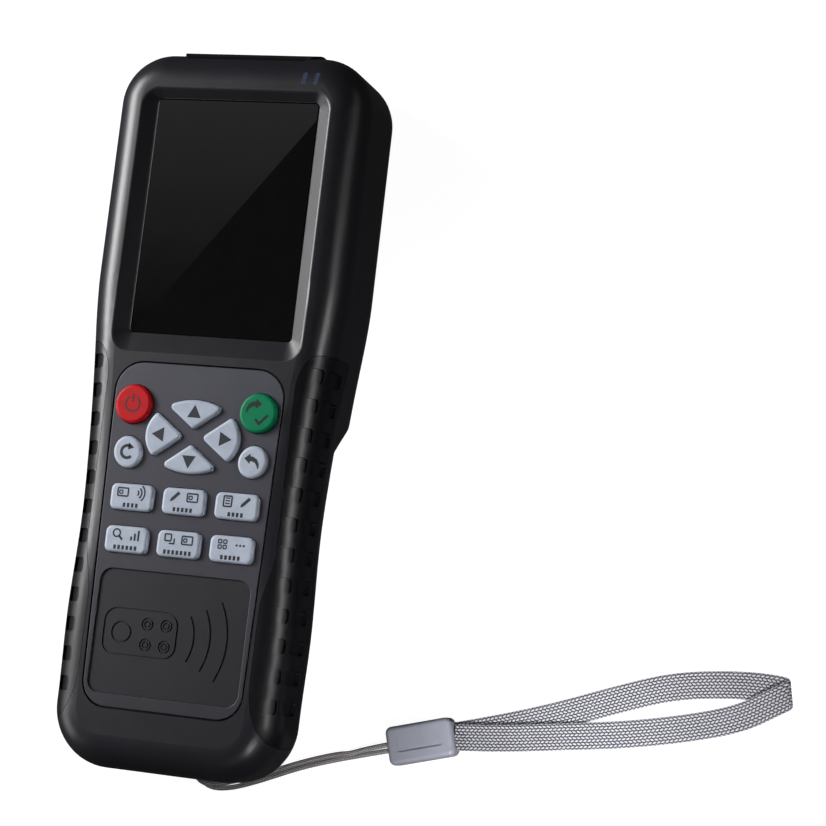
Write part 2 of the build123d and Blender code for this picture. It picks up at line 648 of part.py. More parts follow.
def lanyard_cord():
    """The thin cord: out of the clip, round the pin and back to the clip."""
    radii = bend_radii(CORD_ROUTE)
    path = FilletPolyline(*CORD_ROUTE, radius=radii)
    start = Plane(path @ 0, z_dir=path % 0)
    tube = sweep(start * Circle(CORD_D / 2), path)
    print("cord radii", [round(r, 1) for r in radii])
    print("cord length", round(path.length, 1), "volume share",
          round(tube.volume / (path.length * pi * (CORD_D / 2) ** 2), 3))
    return tube


def strap_band(route, z):
    """One flat strand of the strap, lying level."""
    points = [(x, y, z + STRAP_THICK / 2) for x, y in route]
    radii = bend_radii(points)
    path = FilletPolyline(*points, radius=radii)
    side = Vector(-(path % 0).Y, (path % 0).X, 0)
    section = Plane(path @ 0, x_dir=side, z_dir=path % 0) * Rectangle(STRAP_WIDE, STRAP_THICK)
    band = sweep(section, path)
    print("strap radii", [round(r, 1) for r in radii], "length", round(path.length, 1),
          "volume share", round(band.volume / (path.length * STRAP_WIDE * STRAP_THICK), 3))
    return band


def clip_place():
    return Location((CLIP_X, CLIP_Y, 0), (0, 0, CLIP_TURN))


def strap_loop():
    """Both strands and the fold that joins them at the far end."""
    near = strap_band(NEAR_ROUTE, NEAR_STRAND_Z)
    away = strap_band(FAR_ROUTE, FAR_STRAND_Z)
    middle_z = (FAR_STRAND_Z + NEAR_STRAND_Z + STRAP_THICK) / 2
    outer = NEAR_STRAND_Z + STRAP_THICK - middle_z
    inner = NEAR_STRAND_Z - middle_z
    half_ring = (Circle(outer) - Circle(inner)) & Pos(outer, 0) * Rectangle(2 * outer, 4 * outer)
    fold = extrude(Plane.XZ * half_ring, STRAP_WIDE / 2, both=True)
    fold_x, fold_y = NEAR_ROUTE[-1][0], (NEAR_ROUTE[-1][1] + FAR_ROUTE[-1][1]) / 2
    fold = Location((fold_x - 0.4, fold_y, middle_z), (0, 0, 12)) * fold
    root = clip_place() * plate(3.4, CLIP_LONG / 2 + 0.6, -STRAP_WIDE / 2, STRAP_WIDE / 2,
                                FAR_STRAND_Z, NEAR_STRAND_Z + STRAP_THICK)
    return near + away + fold + root


def strap_clip():
    body = plate(-CLIP_LONG / 2, CLIP_LONG / 2, -CLIP_WIDE / 2, CLIP_WIDE / 2, 0, CLIP_HIGH, 1.8)
    ends = body.faces().sort_by(Axis.Z)
    body = fillet(ends[-1].edges(), 1.5)
    body = fillet(body.faces().sort_by(Axis.Z)[0].edges(), 0.8)
    body = body - plate(-6.1, 6.1, -1.95, 1.95, CLIP_HIGH - 0.4, CLIP_HIGH + 1, 0.4)
    body = body - plate(3.4, CLIP_LONG, -STRAP_WIDE / 2 - 0.1, STRAP_WIDE / 2 + 0.1,
                        FAR_STRAND_Z - 0.1, NEAR_STRAND_Z + STRAP_THICK + 0.1)
    return clip_place() * body


write("lanyard_cord", lanyard_cord())
write("strap_loop", strap_loop())
write("strap_clip", strap_clip())
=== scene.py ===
"""Looks of the handheld microchip scanner: finishes, key legends, woven strap and a pale studio.

Lengths named in millimetres are turned into metres by MM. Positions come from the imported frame.
"""

import json
import math

import bpy
from mathutils import Matrix, Vector


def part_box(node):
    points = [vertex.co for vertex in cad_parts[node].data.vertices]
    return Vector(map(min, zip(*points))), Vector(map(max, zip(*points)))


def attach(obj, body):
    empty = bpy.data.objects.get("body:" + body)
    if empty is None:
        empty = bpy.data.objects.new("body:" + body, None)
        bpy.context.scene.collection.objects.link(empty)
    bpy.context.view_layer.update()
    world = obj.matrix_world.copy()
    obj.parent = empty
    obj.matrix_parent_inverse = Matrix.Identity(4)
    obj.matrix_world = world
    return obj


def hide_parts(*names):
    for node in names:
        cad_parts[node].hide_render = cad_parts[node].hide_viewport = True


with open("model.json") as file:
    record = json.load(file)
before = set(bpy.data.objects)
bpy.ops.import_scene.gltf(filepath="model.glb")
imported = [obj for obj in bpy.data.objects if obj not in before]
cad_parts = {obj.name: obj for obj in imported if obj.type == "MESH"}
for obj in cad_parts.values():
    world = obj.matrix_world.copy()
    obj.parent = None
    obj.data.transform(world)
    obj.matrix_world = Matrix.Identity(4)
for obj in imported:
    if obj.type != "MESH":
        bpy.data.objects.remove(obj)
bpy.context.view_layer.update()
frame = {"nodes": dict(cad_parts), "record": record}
NODES = frame["nodes"]
MM = 0.001
SCENE = bpy.context.scene


# ---- camera ----------------------------------------------------------------------------
def make_camera():
    """Stands above the strap side and looks down and a little towards the head."""
    camera = bpy.data.objects.new("camera", bpy.data.cameras.new("camera"))
    SCENE.collection.objects.link(camera)
    place = (0.2369, -0.06855, 0.58294)
    ahead = Vector((-0.3021, 0.1207, -0.9456)).normalized()
    right = Vector((0.9506, 0.1121, -0.2894))
    right = (right - ahead * right.dot(ahead)).normalized()
    turn = Matrix((right, right.cross(ahead), -ahead)).transposed()
    camera.matrix_world = Matrix.Translation(place) @ turn.to_4x4()
    camera.data.sensor_width = 36
    camera.data.lens = 95.9
    SCENE.camera = camera


make_camera()


# ---- material nodes --------------------------------------------------------------------
PAINTED_SHADE_HEEL_Y, PAINTED_SHADE_HEAD_Y = -90, 20  # the stretch of the body along which painted shade may grade a colour, in mm


class Finish:
    """A Principled material with helpers for its procedural detail."""

    def __init__(self, name, roughness=0.4, specular=0.5, metallic=0.0):
        self.material = bpy.data.materials.new(name)
        self.material.use_nodes = True
        self.nodes = self.material.node_tree.nodes
        self.links = self.material.node_tree.links
        self.shader = self.nodes["Principled BSDF"]
        self.shader.inputs["Roughness"].default_value = roughness
        self.shader.inputs["Specular IOR Level"].default_value = specular
        self.shader.inputs["Metallic"].default_value = metallic
        self.place = self.nodes.new("ShaderNodeTexCoord").outputs["Object"]

    def noise(self, size_mm, detail=2.0, stretch=(1, 1, 1)):
        """Noise whose features are about size_mm across, as a 0 to 1 value."""
        spread = self.nodes.new("ShaderNodeMapping")
        spread.inputs["Scale"].default_value = stretch
        self.links.new(self.place, spread.inputs["Vector"])
        texture = self.nodes.new("ShaderNodeTexNoise")
        texture.inputs["Scale"].default_value = 1 / (size_mm * MM)
        texture.inputs["Detail"].default_value = detail
        self.links.new(spread.outputs["Vector"], texture.inputs["Vector"])
        return texture.outputs["Fac"]

    def attribute(self, name):
        """A value that the mesh carries."""
        node = self.nodes.new("ShaderNodeAttribute")
        node.attribute_name = name
        return node.outputs["Fac"]

    def ramp(self, value, *stops):
        """Colours at places along a value."""
        node = self.nodes.new("ShaderNodeValToRGB")
        ramp = node.color_ramp
        while len(ramp.elements) < len(stops):
            ramp.elements.new(0.5)
        for element, (place, colour) in zip(ramp.elements, stops):
            element.position = place
            element.color = (*colour, 1)
        self.links.new(value, node.inputs["Fac"])
        return node.outputs["Color"]

    def scaled(self, value, low, high):
        """The middle of a noise value's range spread between low and high."""
        node = self.nodes.new("ShaderNodeMapRange")
        node.inputs["From Min"].default_value = 0.3
        node.inputs["From Max"].default_value = 0.7
        node.inputs["To Min"].default_value = low
        node.inputs["To Max"].default_value = high
        self.links.new(value, node.inputs["Value"])
        return node.outputs["Result"]

    def painted_shade_along(self, colour, heel, head):
        """A colour scaled from the heel of the scanner to its head, as painted shade and painted light
        along the body.
        """
        split = self.nodes.new("ShaderNodeSeparateXYZ")
        self.links.new(self.place, split.inputs[0])
        reach = self.nodes.new("ShaderNodeMapRange")
        reach.inputs["From Min"].default_value = PAINTED_SHADE_HEEL_Y * MM
        reach.inputs["From Max"].default_value = PAINTED_SHADE_HEAD_Y * MM
        reach.inputs["To Min"].default_value = heel
        reach.inputs["To Max"].default_value = head
        self.links.new(split.outputs["Y"], reach.inputs["Value"])
        scale = self.nodes.new("ShaderNodeVectorMath")
        scale.operation = "SCALE"
        self.links.new(colour, scale.inputs[0])
        self.links.new(reach.outputs[0], scale.inputs["Scale"])
        return scale.outputs[0]

    def mottled(self, value, dark, light):
        """Two colours blended along the middle of a noise value's range."""
        return self.ramp(value, (0.3, dark), (0.7, light))

    def colour(self, socket):
        self.links.new(socket, self.shader.inputs["Base Color"])

    def roughness(self, value, middle, below, above):
        """Roughness that wanders about a middle value."""
        spread = self.scaled(value, middle - below, middle + above)
        self.links.new(spread, self.shader.inputs["Roughness"])

    def bump(self, *layers):
        """Each layer is (value, depth in mm)."""
        normal = None
        for value, depth_mm in layers:
            node = self.nodes.new("ShaderNodeBump")
            node.inputs["Distance"].default_value = depth_mm * MM
            self.links.new(value, node.inputs["Height"])
            if normal:
                self.links.new(normal, node.inputs["Normal"])
            normal = node.outputs["Normal"]
        self.links.new(normal, self.shader.inputs["Normal"])


def times(colour, factor):
    """A colour made darker or lighter."""
    return tuple(c * factor for c in colour)


def moulded(name, colour, roughness, grain_mm=0.32, grain_depth=0.012, mottling=0.06, painted_falloff=(1, 1)):
    """Moulded plastic with a fine grain, slight mottling and handling sheen.

    The last argument scales the colour at the heel end and at the head end, as painted shade and painted
    light along the body.
    """
    finish = Finish(name, roughness)
    cloud = finish.noise(9, 3)
    plain = finish.mottled(cloud, times(colour, 1 - mottling), times(colour, 1 + mottling))
    # painted shade and light: the colour is scaled along the body from heel to head
    finish.colour(finish.painted_shade_along(plain, *painted_falloff))
    finish.roughness(finish.noise(5, 3), roughness, 0.015, 0.015)
    finish.bump((finish.noise(grain_mm, 2), grain_depth), (finish.noise(14, 1), 0.01))
    return finish.material


def rubber(name, colour, roughness):
    """Soft black rubber with a faint skin grain and dust in it."""
    finish = Finish(name, roughness, 0.4)
    dust = finish.noise(1.4, 5)
    finish.colour(finish.ramp(dust, (0.45, colour), (0.8, times(colour, 1.4))))
    finish.roughness(finish.noise(3, 3), roughness, 0.015, 0.02)
    finish.bump((finish.noise(0.25, 2), 0.003))
    return finish.material


def silicone(name, colour, specular=0.45):
    """Moulded key rubber: satin, slightly translucent, with a fine grain."""
    satin = 0.42
    finish = Finish(name, satin, specular)
    finish.colour(finish.mottled(finish.noise(2.5, 4), times(colour, 0.93), times(colour, 1.06)))
    finish.roughness(finish.noise(0.6, 3), satin, 0.05, 0.05)
    finish.bump((finish.noise(0.22, 2), 0.004))
    finish.shader.inputs["Subsurface Weight"].default_value = 0.08
    finish.shader.inputs["Subsurface Radius"].default_value = (0.0012, 0.0010, 0.0010)
    finish.shader.inputs["Subsurface Scale"].default_value = 1.0
    return finish.material


def metal(name, colour, roughness):
    """Bare metal, unevenly polished."""
    finish = Finish(name, roughness, metallic=1.0)
    finish.colour(finish.mottled(finish.noise(1.2, 4), times(colour, 0.82), times(colour, 1.08)))
    finish.roughness(finish.noise(0.5, 3), roughness, 0.08, 0.1)
    finish.bump((finish.noise(0.2, 2), 0.003))
    return finish.material


def woven(name, gap, yarn, light):
    """Braided yarn with fine fibres: painted shade darkens the gaps between stitches, and the crowns are
    lighter, partly the yarn's own lighter fibres and partly painted highlight.
    """
    finish = Finish(name, 0.55, 0.4)
    crown = finish.attribute("crown")
    fibres = finish.noise(0.14, 3, (1, 1.6, 1))
    shade = finish.nodes.new("ShaderNodeMath")
    shade.operation = "MULTIPLY_ADD"
    shade.inputs[1].default_value = 0.45  # how much the fibres vary the shade of a stitch
    finish.links.new(fibres, shade.inputs[0])
    finish.links.new(crown, shade.inputs[2])
    # painted shade in the gaps (first colour) and painted highlight on the crowns (last colour)
    finish.colour(finish.ramp(shade.outputs[0], (0.28, gap), (0.66, yarn), (0.96, light)))
    finish.bump((fibres, 0.03))
    finish.shader.inputs["Sheen Weight"].default_value = 0.12
    finish.shader.inputs["Sheen Roughness"].default_value = 0.4
    return finish.material


def glass_black(name):
    """The dark cover glass over a display that is off."""
    polish = 0.007
    finish = Finish(name, polish)
    finish.colour(finish.mottled(finish.noise(6, 2), (0.0036, 0.0036, 0.0037), (0.0046, 0.0046, 0.0047)))
    finish.roughness(finish.noise(4, 4), polish, 0.003, 0.003)
    return finish.material


def display(name):
    """The unlit panel under the glass."""
    finish = Finish(name, 0.25)
    finish.colour(finish.mottled(finish.noise(0.3, 0), (0.008, 0.009, 0.012), (0.012, 0.013, 0.016)))
    return finish.material


def light_pipe(name):
    """Partly clear blue-tinted plastic."""
    finish = Finish(name, 0.18)
    finish.colour(finish.mottled(finish.noise(0.7, 2), (0.05, 0.065, 0.11), (0.08, 0.10, 0.16)))
    finish.shader.inputs["Transmission Weight"].default_value = 0.25
    finish.shader.inputs["IOR"].default_value = 1.49
    return finish.material


def circuit_board(name):
    """Green solder mask with a faint grid of copper showing through it."""
    finish = Finish(name, 0.35)
    tracks = finish.nodes.new("ShaderNodeTexBrick")
    tracks.inputs["Scale"].default_value = 220
    tracks.inputs["Mortar Size"].default_value = 0.035
    tracks.inputs["Color1"].default_value = (0.006, 0.055, 0.022, 1)
    tracks.inputs["Color2"].default_value = (0.008, 0.065, 0.026, 1)
    tracks.inputs["Mortar"].default_value = (0.03, 0.12, 0.04, 1)
    finish.links.new(finish.place, tracks.inputs["Vector"])
    finish.colour(tracks.outputs["Color"])
    finish.bump((tracks.outputs["Fac"], 0.02))
    return finish.material


def coil_winding(name):
    """Enamelled copper turns laid side by side."""
    finish = Finish(name, 0.3, metallic=0.85)
    turns = finish.nodes.new("ShaderNodeTexWave")
    turns.wave_type = "RINGS"
    turns.inputs["Scale"].default_value = 900
    finish.links.new(finish.place, turns.inputs["Vector"])
    finish.colour(finish.ramp(turns.outputs["Fac"], (0.2, (0.16, 0.05, 0.02)), (0.8, (0.6, 0.22, 0.09))))
    finish.bump((turns.outputs["Fac"], 0.05))
    return finish.material


CASE = (0.016, 0.016, 0.0205)
SLOT_FINISH = {
    "case_plastic": moulded("case_plastic", CASE, 0.32),
    # painted shade and light: the fascia colour is darkened to 0.45 at the heel and raised to 1.3 at the
    # head, standing for the light's fall-off
    "fascia_plastic": moulded("fascia_plastic", (0.040, 0.040, 0.055), 0.42, 0.4, 0.02,
                              painted_falloff=(0.45, 1.3)),
    "cap_plastic": moulded("cap_plastic", times(CASE, 0.35), 0.30),
    "grip_rubber": rubber("grip_rubber", (0.0052, 0.0052, 0.0074), 0.34),
    "screen_glass": glass_black("screen_glass"),
    "lcd_panel": display("lcd_panel"),
    "light_pipe": light_pipe("light_pipe"),
    "key_cap": silicone("key_cap", (0.45, 0.50, 0.60)),
    "key_red": silicone("key_red", (0.52, 0.006, 0.010), 0.2),
    "key_green": silicone("key_green", (0.0, 0.20, 0.085), 0.2),
    "key_silicone": silicone("key_silicone", (0.35, 0.36, 0.38)),
    "circuit_board": circuit_board("circuit_board"),
    "chip_plastic": moulded("chip_plastic", (0.012, 0.012, 0.012), 0.5, 0.2),
    "spring_steel": metal("spring_steel", (0.55, 0.55, 0.56), 0.28),
    "screw_steel": metal("screw_steel", (0.22, 0.22, 0.23), 0.36),
    "copper_coil": coil_winding("copper_coil"),
    "battery_wrap": moulded("battery_wrap", (0.04, 0.09, 0.22), 0.3, 0.5, 0.006),
    "clip_plastic": moulded("clip_plastic", (0.24, 0.25, 0.295), 0.40, 0.3, 0.01),
    # in each weave the first colour is painted shade for the gaps and the last is partly painted highlight
    # for the crowns
    "cord_weave": woven("cord_weave", (0.03, 0.028, 0.028), (0.19, 0.18, 0.18), (0.42, 0.40, 0.40)),
    "strap_weave": woven("strap_weave", (0.008, 0.008, 0.010), (0.055, 0.055, 0.064), (0.40, 0.40, 0.44)),
}
DARK_PAD = moulded("pad_plastic", (0.0035, 0.0035, 0.0078), 0.45, 0.4, 0.02)


def dress_cad_nodes():
    """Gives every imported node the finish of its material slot."""
    slots = {row["node"]: row["material_slot"] for row in frame["record"]["subparts"]}
    for name, node in NODES.items():
        node.data.materials.clear()
        node.data.materials.append(DARK_PAD if name == "reader_pad" else SLOT_FINISH[slots[name]])


dress_cad_nodes()


# ---- meshes ----------------------------------------------------------------------------
def new_object(name, vertices, faces, material, smooth=True):
    """A mesh object of one material, put in the scene."""
    mesh = bpy.data.meshes.new(name)
    mesh.from_pydata(vertices, [], faces)
    mesh.validate()
    mesh.materials.append(material)
    mesh.polygons.foreach_set("use_smooth", [smooth] * len(mesh.polygons))
    piece = bpy.data.objects.new(name, mesh)
    SCENE.collection.objects.link(piece)
    return piece


def spline_points(route_mm, spacing_mm):
    """Evenly spaced points, in metres, on the NURBS spline that follows a route."""
    curve = bpy.data.curves.new("route", "CURVE")
    curve.dimensions = "3D"
    curve.resolution_u = 24
    spline = curve.splines.new("NURBS")
    spline.points.add(len(route_mm) - 1)
    for point, place in zip(spline.points, route_mm):
        point.co = (*(Vector(place) * MM), 1)
    spline.order_u = 3
    spline.use_endpoint_u = True
    carrier = bpy.data.objects.new("route", curve)
    SCENE.collection.objects.link(carrier)
    raw = [v.co.copy() for v in bpy.data.meshes.new_from_object(carrier).vertices]
    bpy.data.objects.remove(carrier)
    lengths = [0.0]
    for a, b in zip(raw, raw[1:]):
        lengths.append(lengths[-1] + (b - a).length)
    count = max(2, round(lengths[-1] / (spacing_mm * MM)))
    points = []
    k = 0
    for i in range(count + 1):
        here = lengths[-1] * i / count
        while k < len(raw) - 2 and lengths[k + 1] < here:
            k += 1
        share = (here - lengths[k]) / max(lengths[k + 1] - lengths[k], 1e-9)
        points.append(raw[k].lerp(raw[k + 1], min(share, 1)))
    return points


def tangents(points):
    """The direction of a line at each of its points."""
    last = len(points) - 1
    return [(points[min(i + 1, last)] - points[max(i - 1, 0)]).normalized() for i in range(last + 1)]


STITCH_STEPS = 5  # points across each row of stitches


def stitch(row, along):
    """Height, 0 to 1, of the braid at a place counted in rows and pitches.

    Neighbouring rows lean opposite ways and are half a pitch apart.
    """
    across = row % 1.0
    odd = int(row) % 2
    lean = 0.55 if odd else -0.55
    phase = (along + lean * (across - 0.5) + 0.5 * odd) % 1.0
    return math.sin(math.pi * across) ** 0.55 * math.sin(math.pi * phase) ** 0.7


def braided_tube(name, points, sides, outline, rows, pitch_mm, relief_mm, material):
    """A closed tube with braid relief.

    outline(share) gives the (across, up) offset and outward normal for a share of the perimeter.
    """
    around = rows * STITCH_STEPS
    ring_data = [outline(j / around) for j in range(around)]
    directions = tangents(points)
    vertices, crowns = [], []
    walked = 0.0
    for i, (point, direction, side) in enumerate(zip(points, directions, sides)):
        if i:
            walked += (point - points[i - 1]).length
        up = direction.cross(side).normalized()
        for j, ((x, z), (nx, nz)) in enumerate(ring_data):
            height = stitch(j / STITCH_STEPS, walked / (pitch_mm * MM))
            lift = relief_mm * (height - 1)
            vertices.append(point + (side * (x + nx * lift) + up * (z + nz * lift)) * MM)
            crowns.append(height)
    faces = []
    for i in range(len(points) - 1):
        for j in range(around):
            k = (j + 1) % around
            faces.append((i * around + j, i * around + k, (i + 1) * around + k, (i + 1) * around + j))
    last = (len(points) - 1) * around
    faces.append(tuple(range(around - 1, -1, -1)))
    faces.append(tuple(last + j for j in range(around)))
    piece = new_object(name, vertices, faces, material)
    # the stitch height, which the woven finish turns into painted shade in the gaps and painted highlight
    # on the crowns
    attribute = piece.data.attributes.new("crown", "FLOAT", "POINT")
    attribute.data.foreach_set("value", crowns)
    return piece


# ---- wrist strap -----------------------------------------------------------------------
STRAP_WIDE, STRAP_THICK = 7.4, 1.1
STRAP_ROWS, STRAP_PITCH, STRAP_RELIEF = 20, 1.15, 0.2
STRAP_ROUTE = [
    (73.95, -82.0, 2.85), (86.0, -81.0, 2.5), (102.4, -78.6, 1.95), (118.5, -76.3, 0.85),
    (134.3, -73.0, 0.62), (149.7, -68.6, 1.1), (158.6, -63.1, 1.85), (162.3, -60.9, 1.85),
    (162.3, -60.3, 0.62), (157.5, -59.5, 0.62), (147.0, -59.7, 0.62), (131.5, -61.8, 0.62),
    (116.5, -67.1, 0.62), (101.5, -73.0, 0.7), (86.0, -78.1, 1.1), (73.95, -81.5, 1.55),
]


def stadium(share):
    """A flat outline with round ends, starting at the middle of its lower face."""
    radius = STRAP_THICK / 2
    straight = STRAP_WIDE - STRAP_THICK
    perimeter = 2 * straight + 2 * math.pi * radius
    way = share * perimeter
    for sign, start in ((1, 0), (-1, perimeter / 2)):
        here = way - start
        if here < 0 or here >= perimeter / 2:
            continue
        if here < straight / 2:
            return (sign * here, -sign * radius), (0, -sign)
        here -= straight / 2
        if here < math.pi * radius:
            turn = here / radius - math.pi / 2
            normal = (sign * math.cos(turn), sign * math.sin(turn))
            return (sign * straight / 2 + radius * normal[0], radius * normal[1]), normal
        here -= math.pi * radius
        return (sign * (straight / 2 - here), sign * radius), (0, sign)


def strap_sides(points):
    """The width direction at each point: level, towards the head, and steady through the fold."""
    steep = 0.35  # rise per length that only the fold has
    blend = 12  # points averaged on each side near the fold
    sides = []
    for direction in tangents(points):
        level = Vector((-direction.y, direction.x, 0))
        if abs(direction.z) > steep:
            sides.append(None)
            continue
        level.normalize()
        sides.append(level if level.y > 0 else -level)
    fold = [i for i, side in enumerate(sides) if side is None]
    before, after = sides[fold[0] - 1], sides[fold[-1] + 1]
    for step, i in enumerate(fold):
        sides[i] = before.lerp(after, (step + 1) / (len(fold) + 1)).normalized()
    smooth = list(sides)
    for i in range(fold[0] - 2 * blend, fold[-1] + 2 * blend):
        near = sides[i - blend:i + blend + 1]
        smooth[i] = sum(near, Vector()).normalized()
    return smooth


def make_strap():
    """The wrist strap: out from the clip, folded back on itself at its far end, and in again."""
    points = spline_points(STRAP_ROUTE, STRAP_PITCH / 6)
    strap = braided_tube("woven_strap", points, strap_sides(points), stadium, STRAP_ROWS,
                         STRAP_PITCH, STRAP_RELIEF, SLOT_FINISH["strap_weave"])
    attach(strap, "body")
    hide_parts("strap_loop")


CORD_D = 1.5
CORD_ROWS, CORD_PITCH, CORD_RELIEF = 8, 0.8, 0.1
CORD_ROUTE = [
    (56.08, -87.55, 1.8), (48.2, -89.7, 0.85), (44.4, -90.8, 0.8), (41.0, -91.75, 0.8),
    (30.6, -95.1, 0.8), (20.6, -99.5, 0.8), (14.4, -102.0, 0.8), (9.6, -103.5, 0.9),
    (5.6, -103.9, 2.6), (3.4, -102.3, 5.4), (3.0, -99.2, 8.0), (3.0, -94.5, 8.5),
    (3.0, -94.5, 12.3), (3.2, -99.2, 12.4), (4.6, -102.3, 9.8), (7.2, -102.8, 5.8),
    (11.8, -101.2, 1.9), (18.8, -98.75, 0.8), (29.8, -93.95, 0.8), (40.6, -90.35, 0.8),
    (44.3, -89.9, 1.8), (48.0, -88.25, 0.85), (55.55, -86.0, 1.8),
]


def round_outline(share):
    """The thin cord's round outline."""
    turn = 2 * math.pi * share
    normal = (math.cos(turn), math.sin(turn))
    return (CORD_D / 2 * normal[0], CORD_D / 2 * normal[1]), normal


def steady_sides(points):
    """Width directions that turn with the line and never spin about it."""
    side = Vector((0, 1, 0))
    sides = []
    for direction in tangents(points):
        side = (side - direction * side.dot(direction)).normalized()
        sides.append(side)
    return sides


def make_thin_cord():
    """The thin cord: from the clip to the heel, round the pin in its slot, and back."""
    points = spline_points(CORD_ROUTE, CORD_PITCH / 5)
    cord = braided_tube("thin_cord", points, steady_sides(points), round_outline, CORD_ROWS,
                        CORD_PITCH, CORD_RELIEF, SLOT_FINISH["cord_weave"])
    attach(cord, "body")
    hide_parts("lanyard_cord")


make_strap()
make_thin_cord()


# ---- key legends -----------------------------------------------------------------------
LEGEND_THICK = 0.05


class Drawing:
    """Flat shapes, in millimetres about a key's middle, raised a hair above its top."""

    def __init__(self):
        self.vertices, self.faces = [], []

    def _prism(self, outline, caps):
        """Adds a closed outline as a prism, with the given faces on its top and bottom."""
        start, n = len(self.vertices), len(outline)
        self.vertices += [(x, y, level) for level in (1, 0) for x, y in outline]
        for cap in caps:
            self.faces.append(tuple(start + i for i in cap))
            self.faces.append(tuple(start + n + i for i in reversed(cap)))
        for i in range(n):
            a, b = start + i, start + (i + 1) % n
            self.faces.append((a, a + n, b + n, b))

    def polygon(self, points):
        self._prism(points, [tuple(range(len(points)))])

    def stroke(self, points, wide):
        """A line of even width with square ends and mitred corners."""
        sharpest = 0.4  # keeps a mitre from growing into a spike
        left, right = [], []
        for i, (x, y) in enumerate(points):
            before = Vector(points[i]) - Vector(points[i - 1]) if i else None
            after = Vector(points[i + 1]) - Vector(points[i]) if i + 1 < len(points) else None
            before, after = before or after, after or before
            bisector = (before.normalized() + after.normalized()).normalized()
            reach = wide / 2 / max(bisector.dot(before.normalized()), sharpest)
            left.append((x - bisector.y * reach, y + bisector.x * reach))
            right.append((x + bisector.y * reach, y - bisector.x * reach))
        n = len(points)
        outline = right + left[::-1]
        caps = [(i, i + 1, 2 * n - 2 - i, 2 * n - 1 - i) for i in range(n - 1)]
        self._prism(outline, caps)

    def arc(self, x, y, radius, start, end, wide):
        """A round stroke between two angles in degrees."""
        steps = max(6, int(abs(end - start) / 9))  # one for every 9 degrees
        points = []
        for i in range(steps + 1):
            turn = math.radians(start + (end - start) * i / steps)
            points.append((x + radius * math.cos(turn), y + radius * math.sin(turn)))
        self.stroke(points, wide)

    def ring(self, x, y, radius, wide):
        self.arc(x, y, radius, 0, 180, wide)
        self.arc(x, y, radius, 180, 360, wide)

    def box(self, x, y, wide, high, line):
        """An upright rectangle drawn as a line."""
        a, b = wide / 2, high / 2
        corners = [(x - a, y - b), (x + a, y - b), (x + a, y + b), (x - a, y + b)]
        for p, q in zip(corners, corners[1:] + corners[:1]):
            self.stroke([p, q], line)

    def place(self, name, key, middle, material, turn=0.0):
        """Makes the drawing a piece on a key."""
        _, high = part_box(key)
        angle = Matrix.Rotation(math.radians(turn), 2)
        vertices = []
        for x, y, level in self.vertices:
            across = angle @ Vector((x, y))
            z = high.z + (level - 0.5) * LEGEND_THICK * MM
            vertices.append((middle[0] + across.x * MM, middle[1] + across.y * MM, z))
        legend = new_object(name, vertices, self.faces, material, smooth=False)
        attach(legend, key)


def ink(name, colour):
    """Screen-printed ink, slightly glossy, with pinholes."""
    finish = Finish(name)
    finish.colour(finish.ramp(finish.noise(0.12, 2), (0.3, times(colour, 0.7)), (0.75, times(colour, 1.5))))
    finish.bump((finish.noise(0.1, 1), 0.004))
    return finish.material


DARK_INK = ink("legend_ink", (0.018, 0.020, 0.028))
RED_INK = ink("legend_ink_on_red", (0.035, 0.005, 0.007))
GREEN_INK = ink("legend_ink_on_green", (0.001, 0.012, 0.009))


def middle_of(key):
    """The middle of a key's box."""
    low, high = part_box(key)
    return (low + high) / 2


def power_sign():
    """A broken ring with an upright stroke in the gap."""
    sign = Drawing()
    sign.arc(0, 0, 2.1, 122, 418, 0.5)
    sign.stroke([(0, 0.3), (0, 2.75)], 0.5)
    return sign


def triangle():
    """An arrowhead that points up."""
    sign = Drawing()
    sign.polygon([(-2.0, -1.3), (2.0, -1.3), (0, 2.25)])
    return sign


def swept_arrow(side):
    """A thick arrow that rises and bends over to one side."""
    sign = Drawing()
    shaft = [(-1.9, -1.7), (-1.75, -0.7), (-1.2, 0.25), (-0.3, 0.75), (0.55, 0.85)]
    widths = [0.35, 0.75, 1.1, 1.3, 1.35]
    outer, inner = [], []
    for (x, y), (bx, by), wide in zip(shaft, shaft[1:] + [(1.2, 0.85)], widths):
        along = Vector((bx - x, by - y)).normalized()
        outer.append((x - along.y * wide / 2, y + along.x * wide / 2))
        inner.append((x + along.y * wide / 2, y - along.x * wide / 2))
    head = [(0.6, 2.25), (2.3, 0.85), (0.6, -0.6)]
    points = [(side * x, y) for x, y in outer + head + inner[::-1]]
    sign.polygon(points if side > 0 else points[::-1])
    return sign


def turned_ring():
    """An open ring with an arrowhead, for clearing."""
    sign = Drawing()
    sign.arc(0, 0, 1.7, 60, 318, 0.85)
    sign.polygon([(0.2, 2.55), (0.2, 0.55), (1.95, 1.25)])
    return sign


def confirm_sign():
    """A bent arrow over a tick."""
    sign = swept_arrow(1)
    sign.vertices = [(x - 1.3, y + 1.6, z) for x, y, z in sign.vertices]
    sign.stroke([(-0.5, -1.7), (0.7, -2.9), (3.0, -0.5)], 0.75)
    return sign


LINE = 0.36  # width of a drawn line, in mm before the pictures are enlarged
PICTURE_SIZE = 1.22  # enlargement of the function keys' pictures


def draw_tag(sign, x, y):
    """A card with a chip on it."""
    sign.box(x, y, 2.5, 1.8, LINE)
    sign.box(x - 0.45, y, 0.75, 0.7, LINE * 0.8)


def draw_waves(sign, x, y):
    """Three radio waves."""
    for k in range(3):
        sign.arc(x - 1.1, y, 0.7 + 0.75 * k, -50, 50, LINE)


def draw_pen(sign, x, y):
    """A slanted pen with its point at the lower left."""
    outline = [(-1.15, -1.15), (-0.45, -0.95), (1.2, 0.7), (0.7, 1.2), (-0.95, -0.45)]
    sign.polygon([(x + a, y + b) for a, b in outline])


